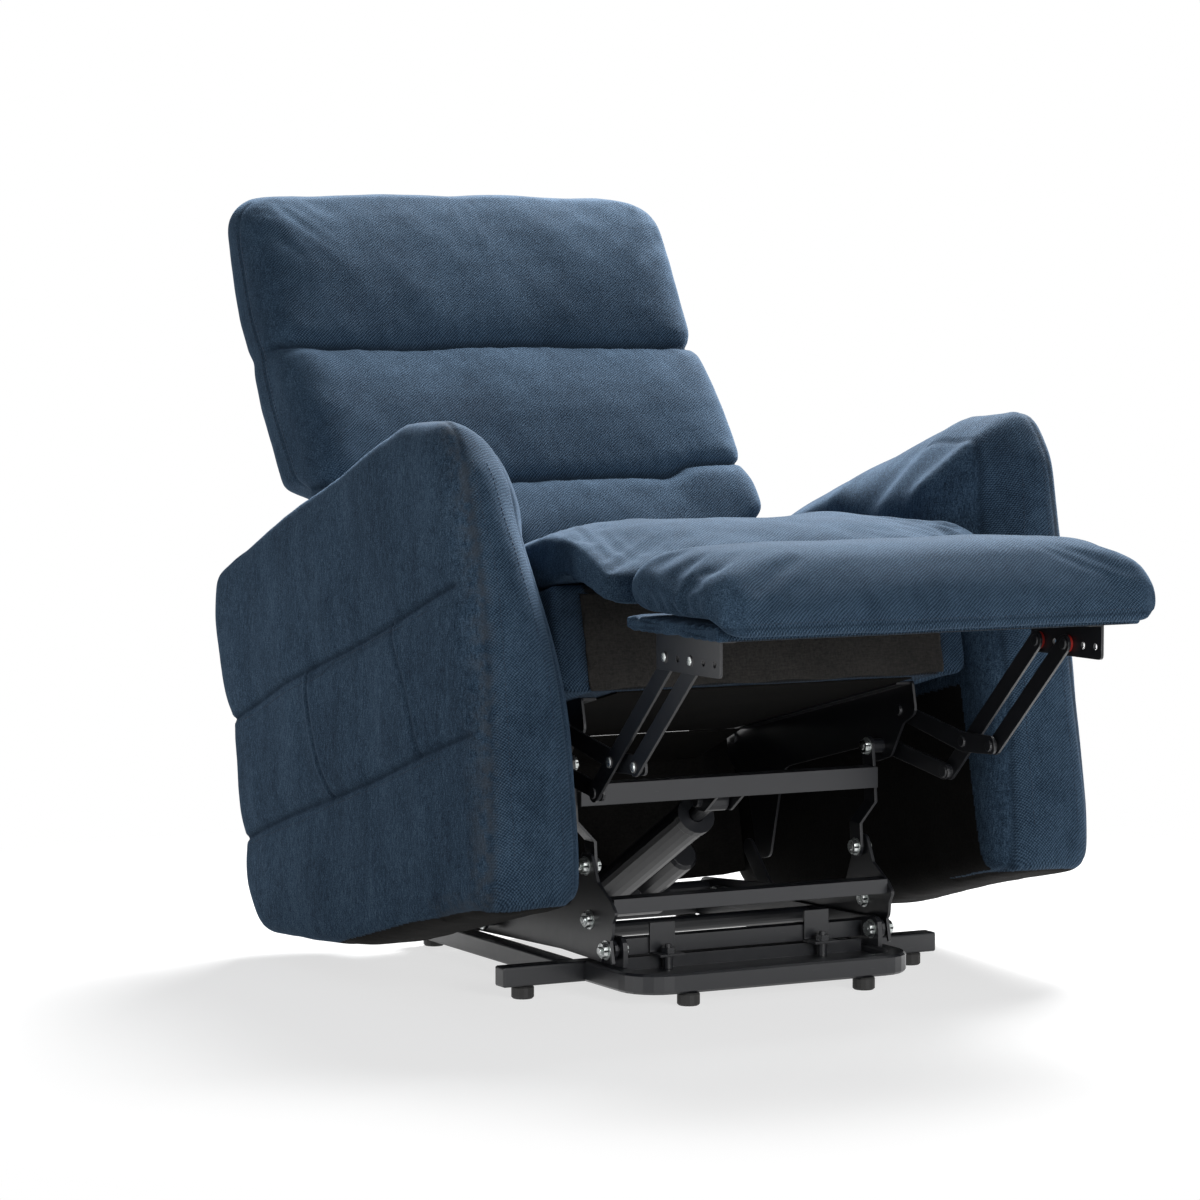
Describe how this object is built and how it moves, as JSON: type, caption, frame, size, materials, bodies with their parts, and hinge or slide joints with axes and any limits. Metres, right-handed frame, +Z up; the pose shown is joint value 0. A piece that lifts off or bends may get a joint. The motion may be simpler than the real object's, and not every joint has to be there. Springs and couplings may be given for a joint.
{
  "type": "lift recliner chair",
  "caption": "Power lift recliner chair: padded arms, stitched backrest, seat and footrest on folding steel bars, over a floor frame with a lift linkage and a screw actuator.",
  "frame": {"origin": "on the floor under the middle of the bounding box of the chair with its footrest out", "axes": "+Z up, -Y is the front of the chair, +X is the sitter's left"},
  "size_m": [0.8686, 1.3503, 0.9827],
  "materials": {
    "black_steel": "satin powder coat",
    "blue_fabric": "woven, matt",
    "dark_cloth": "felt, matt",
    "grey_steel": "satin",
    "rubber": "matt"
  },
  "bodies": {
    "base": {"base_front_tube": "black_steel", "base_cross_member": "black_steel", "base_rear_member": "black_steel", "base_rail_left": "black_steel", "foot_outer_left": "rubber", "foot_front_left": "rubber", "foot_rear_left": "rubber", "base_rail_right": "black_steel", "foot_outer_right": "rubber", "foot_front_right": "rubber", "foot_rear_right": "rubber", "base_tray": "black_steel", "base_lug_tube": "black_steel", "tray_clip_left": "black_steel", "tray_clip_right": "black_steel"},
    "lift_arms": {"lift_arm_left": "black_steel", "lift_arm_right": "black_steel", "lift_arm_cross_tube": "black_steel"},
    "lift_frame": {"lift_plate_left": "black_steel", "lift_plate_right": "black_steel", "lift_front_crossbar": "grey_steel", "lift_rear_tube": "black_steel"},
    "drive": {"drive_link_left": "black_steel", "drive_link_right": "black_steel", "drive_crossbar": "grey_steel"},
    "rear_link": {"rear_link_left": "black_steel", "rear_link_right": "black_steel"},
    "rod": {"actuator_rod": "grey_steel"},
    "actuator": {"actuator_tube": "grey_steel", "actuator_motor": "black_steel"},
    "chassis": {"seat_plate_left": "black_steel", "seat_plate_right": "black_steel", "seat_box": "blue_fabric", "seat_front_panel": "dark_cloth", "seat_underside_cloth": "dark_cloth", "rear_dust_cloth": "dark_cloth", "seat_cushion": "blue_fabric", "arm_left": "blue_fabric", "arm_pocket_left": "blue_fabric", "arm_right": "blue_fabric", "arm_pocket_right": "blue_fabric"},
    "lower_bar": {"footrest_lower_bar_left": "black_steel", "footrest_lower_bar_right": "black_steel"},
    "stay": {"footrest_stay_left": "black_steel", "footrest_stay_right": "black_steel"},
    "rear_bar": {"footrest_rear_bar_left": "black_steel", "footrest_rear_bar_right": "black_steel"},
    "front_bar": {"footrest_front_bar_left": "black_steel", "footrest_front_bar_right": "black_steel"},
    "footrest": {"footrest_bracket_left": "black_steel", "footrest_bracket_right": "black_steel", "footrest_board": "blue_fabric", "footrest_pad": "blue_fabric"},
    "leg_pad": {"leg_pad": "blue_fabric"},
    "backrest": {"back_shell": "blue_fabric", "back_pillow_lower": "blue_fabric", "back_pillow_middle": "blue_fabric", "back_pillow_upper": "blue_fabric", "back_bracket_left": "black_steel", "back_bracket_right": "black_steel"}
  },
  "joints": [
    {"name": "lift", "type": "hinge", "parent": "base", "child": "lift_arms", "pos_m": [0, -0.21859, 0.062], "axis": [1, 0, 0], "range_deg": [0, 45]},
    {"name": "lift_frame_tip", "type": "hinge", "parent": "lift_arms", "child": "lift_frame", "pos_m": [0, 0.19441, 0.052], "axis": [1, 0, 0], "range_deg": [-18.1, 0]},
    {"name": "recline", "type": "hinge", "parent": "lift_frame", "child": "drive", "pos_m": [0, -0.16559, 0.159], "axis": [1, 0, 0], "range_deg": [0, 62]},
    {"name": "body_level", "type": "hinge", "parent": "drive", "child": "chassis", "pos_m": [0, -0.15259, 0.284], "axis": [1, 0, 0], "range_deg": [-49.1, 0]},
    {"name": "rod_swing", "type": "hinge", "parent": "drive", "child": "rod", "pos_m": [0, -0.13259, 0.2255], "axis": [1, 0, 0], "range_deg": [-56.7, 0]},
    {"name": "actuator_extend", "type": "slide", "parent": "rod", "child": "actuator", "axis": [0, 0.8834, -0.4687], "range_m": [0, 0.0666]},
    {"name": "rear_link_swing", "type": "hinge", "parent": "lift_frame", "child": "rear_link", "pos_m": [0, 0.08541, 0.06], "axis": [1, 0, 0], "range_deg": [0, 70.1]},
    {"name": "leg_pad_drop", "type": "hinge", "parent": "chassis", "child": "leg_pad", "pos_m": [0, -0.26529, 0.52041], "axis": [1, 0, 0], "range_deg": [0, 62.1]},
    {"name": "lower_bar_fold", "type": "hinge", "parent": "chassis", "child": "lower_bar", "pos_m": [0, -0.19556, 0.33302], "axis": [1, 0, 0], "range_deg": [0, 78.1]},
    {"name": "stay_fold", "type": "hinge", "parent": "chassis", "child": "stay", "pos_m": [0, -0.15259, 0.284], "axis": [1, 0, 0], "range_deg": [0, 78.3]},
    {"name": "rear_bar_fold", "type": "hinge", "parent": "lower_bar", "child": "rear_bar", "pos_m": [0, -0.32857, 0.30503], "axis": [1, 0, 0], "range_deg": [-88.1, 0]},
    {"name": "front_bar_fold", "type": "hinge", "parent": "lower_bar", "child": "front_bar", "pos_m": [0, -0.38857, 0.30503], "axis": [1, 0, 0], "range_deg": [-88.1, 0]},
    {"name": "footrest_fold", "type": "hinge", "parent": "rear_bar", "child": "footrest", "pos_m": [0, -0.47555, 0.44097], "axis": [1, 0, 0], "range_deg": [0, 88.1]},
    {"name": "back_recline", "type": "hinge", "parent": "chassis", "child": "backrest", "pos_m": [0, 0.22143, 0.25923], "axis": [-1, 0, 0], "range_deg": [-7, 30]}
  ],
  "couplings": [
    {"joint": "lift_frame_tip", "follows": "lift", "ratio": -0.4},
    {"joint": "body_level", "follows": "recline", "ratio": -0.79032},
    {"joint": "rod_swing", "follows": "recline", "ratio": -0.9129},
    {"joint": "actuator_extend", "follows": "recline", "m_per_rad": 0.061362},
    {"joint": "rear_link_swing", "follows": "recline", "ratio": 1.1279},
    {"joint": "leg_pad_drop", "follows": "recline", "ratio": 1},
    {"joint": "lower_bar_fold", "follows": "recline", "ratio": 1.2581},
    {"joint": "stay_fold", "follows": "recline", "ratio": 1.2613},
    {"joint": "rear_bar_fold", "follows": "recline", "ratio": -1.4194},
    {"joint": "front_bar_fold", "follows": "recline", "ratio": -1.4194},
    {"joint": "footrest_fold", "follows": "recline", "ratio": 1.4194}
  ]
}
